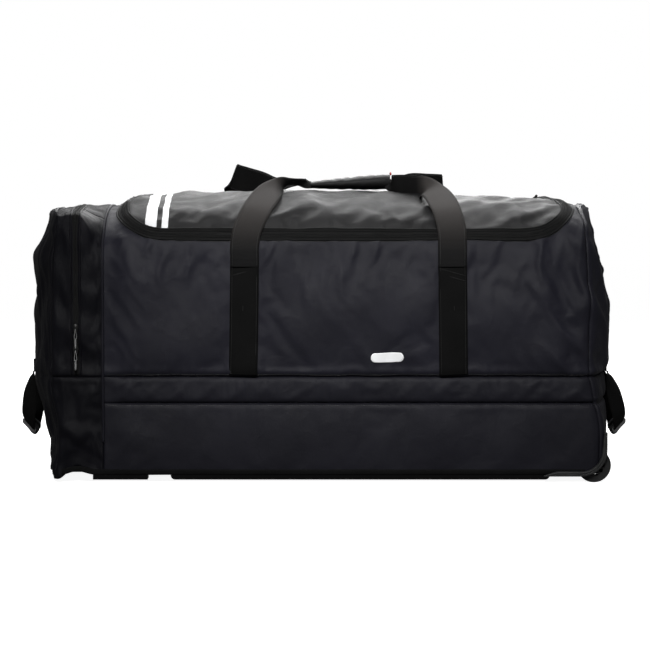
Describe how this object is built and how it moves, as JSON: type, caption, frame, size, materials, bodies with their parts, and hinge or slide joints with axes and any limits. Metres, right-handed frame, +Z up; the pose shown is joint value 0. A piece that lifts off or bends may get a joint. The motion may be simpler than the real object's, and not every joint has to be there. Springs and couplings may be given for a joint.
{
  "type": "wheeled hockey equipment bag",
  "caption": "Large soft wheeled sports bag with a domed zip lid, end pocket, webbing carry handles, hanging end handles, skid rails and corner wheels.",
  "frame": {"origin": "centre of the footprint's bounding box, on the floor", "axes": "+X towards the wheeled end, -Y the front with the sewn straps and badge, +Z up"},
  "size_m": [1.103, 0.4172, 0.554],
  "materials": {
    "shell_fabric": "satin woven nylon",
    "heavy_fabric": "coated polyester weave",
    "webbing": "ribbed webbing",
    "grip_leather": "soft grained wrap",
    "reflective_print": "white reflective",
    "moulded_plastic": "moulded, lightly grained",
    "bush_plastic": "smooth",
    "tyre": "satin",
    "steel": "zinc plated",
    "zip_hardware": "satin coil and lacquered slider",
    "pull_cord": "braided cord with light fleck",
    "board": "smooth sheet"
  },
  "bodies": {
    "bag": {"base_bindings": "shell_fabric", "base_board": "board", "base_rivets": "steel", "base_skin": "heavy_fabric", "corner_feet": "moulded_plastic", "divider_panel": "shell_fabric", "end_handle_patches": "webbing", "front_badge": "reflective_print", "front_lower_panel": "heavy_fabric", "front_middle_band": "heavy_fabric", "front_sewn_straps": "webbing", "front_upper_panel": "shell_fabric", "front_wheel_guard": "moulded_plastic", "front_wheel_well": "moulded_plastic", "main_zip_tape_body": "shell_fabric", "main_zip_teeth_body": "zip_hardware", "pocket_end_panel": "shell_fabric", "pocket_front_left": "shell_fabric", "pocket_front_lower": "heavy_fabric", "pocket_gusset": "shell_fabric", "pocket_piping": "shell_fabric", "pocket_rear_panel": "shell_fabric", "pocket_top_panel": "shell_fabric", "pocket_zip_tape": "shell_fabric", "pocket_zip_teeth": "zip_hardware", "rear_lower_panel": "heavy_fabric", "rear_middle_band": "heavy_fabric", "rear_sewn_straps": "webbing", "rear_upper_panel": "shell_fabric", "rear_wheel_guard": "moulded_plastic", "rear_wheel_well": "moulded_plastic", "right_end_panel": "shell_fabric", "skid_rails": "moulded_plastic", "top_frame_panel": "shell_fabric", "wheel_axles": "steel"},
    "lid": {"lid_panel": "shell_fabric", "main_zip_tape_lid": "shell_fabric", "main_zip_teeth_lid": "zip_hardware", "lid_stripes": "reflective_print"},
    "front_handle": {"front_handle_webbing": "webbing", "grip_wrap": "grip_leather"},
    "rear_handle": {"rear_handle_webbing": "webbing"},
    "right_end_handle": {"right_end_handle": "webbing", "right_end_wrap": "grip_leather"},
    "left_end_handle": {"left_end_handle": "webbing", "left_end_wrap": "grip_leather"},
    "front_wheel": {"front_tyre": "tyre", "front_wheel_hub": "moulded_plastic", "front_wheel_bush": "bush_plastic"},
    "rear_wheel": {"rear_tyre": "tyre", "rear_wheel_hub": "moulded_plastic", "rear_wheel_bush": "bush_plastic"},
    "pocket_slider_upper": {"pocket_slider_upper": "zip_hardware"},
    "pocket_pull_upper": {"pocket_pull_upper": "pull_cord"},
    "pocket_slider_lower": {"pocket_slider_lower": "zip_hardware"},
    "pocket_pull_lower": {"pocket_pull_lower": "pull_cord"},
    "lid_slider_first": {"lid_slider_first": "zip_hardware"},
    "lid_pull_first": {"lid_pull_first": "pull_cord"},
    "lid_slider_second": {"lid_slider_second": "zip_hardware"},
    "lid_pull_second": {"lid_pull_second": "pull_cord"}
  },
  "joints": [
    {"name": "front_wheel_spin", "type": "hinge", "parent": "bag", "child": "front_wheel", "pos_m": [0.474, -0.186, 0.03], "axis": [0, 1, 0], "continuous": true},
    {"name": "rear_wheel_spin", "type": "hinge", "parent": "bag", "child": "rear_wheel", "pos_m": [0.474, 0.186, 0.03], "axis": [0, 1, 0], "continuous": true},
    {"name": "lid_open", "type": "hinge", "parent": "bag", "child": "lid", "pos_m": [0, 0.184, 0.454], "axis": [-1, 0, 0], "range_deg": [0, 75]},
    {"name": "front_handle_swing", "type": "hinge", "parent": "bag", "child": "front_handle", "pos_m": [0.042, -0.2045, 0.383], "axis": [1, 0, 0], "range_deg": [0, 165]},
    {"name": "rear_handle_swing", "type": "hinge", "parent": "bag", "child": "rear_handle", "pos_m": [0.042, 0.2045, 0.383], "axis": [-1, 0, 0], "range_deg": [0, 165]},
    {"name": "right_end_handle_swing", "type": "hinge", "parent": "bag", "child": "right_end_handle", "pos_m": [0.5135, 0, 0.1825], "axis": [0, -1, 0], "range_deg": [0, 110]},
    {"name": "left_end_handle_swing", "type": "hinge", "parent": "bag", "child": "left_end_handle", "pos_m": [-0.5285, 0, 0.1825], "axis": [0, 1, 0], "range_deg": [0, 110]},
    {"name": "pocket_slider_upper_slide", "type": "slide", "parent": "bag", "child": "pocket_slider_upper", "axis": [0, 0, 1], "range_m": [0, 0.19]},
    {"name": "pocket_pull_upper_swing", "type": "hinge", "parent": "pocket_slider_upper", "child": "pocket_pull_upper", "pos_m": [-0.435, -0.2077, 0.272], "axis": [-1, 0, 0], "range_deg": [0, 120]},
    {"name": "pocket_slider_lower_slide", "type": "slide", "parent": "bag", "child": "pocket_slider_lower", "axis": [0, 0, -1], "range_m": [0, 0.036]},
    {"name": "pocket_pull_lower_swing", "type": "hinge", "parent": "pocket_slider_lower", "child": "pocket_pull_lower", "pos_m": [-0.435, -0.2077, 0.234], "axis": [-1, 0, 0], "range_deg": [0, 120]},
    {"name": "lid_slider_first_slide", "type": "slide", "parent": "lid", "child": "lid_slider_first", "axis": [0, -0.981, 0.1941], "range_m": [0, 0.05]},
    {"name": "lid_pull_first_swing", "type": "hinge", "parent": "lid_slider_first", "child": "lid_pull_first", "pos_m": [0.428, 0.10346, 0.50536], "axis": [-1, 0, 0], "range_deg": [0, 150]},
    {"name": "lid_slider_second_slide", "type": "slide", "parent": "lid", "child": "lid_slider_second", "axis": [0, 0.9679, -0.2512], "range_m": [0, 0.01]},
    {"name": "lid_pull_second_swing", "type": "hinge", "parent": "lid_slider_second", "child": "lid_pull_second", "pos_m": [0.428, 0.13388, 0.49841], "axis": [-1, 0, 0], "range_deg": [0, 150]}
  ],
  "couplings": [
    {"joint": "front_handle_swing", "follows": "lid_open", "ratio": 2.2},
    {"joint": "rear_handle_swing", "follows": "lid_open", "ratio": 2.2}
  ]
}
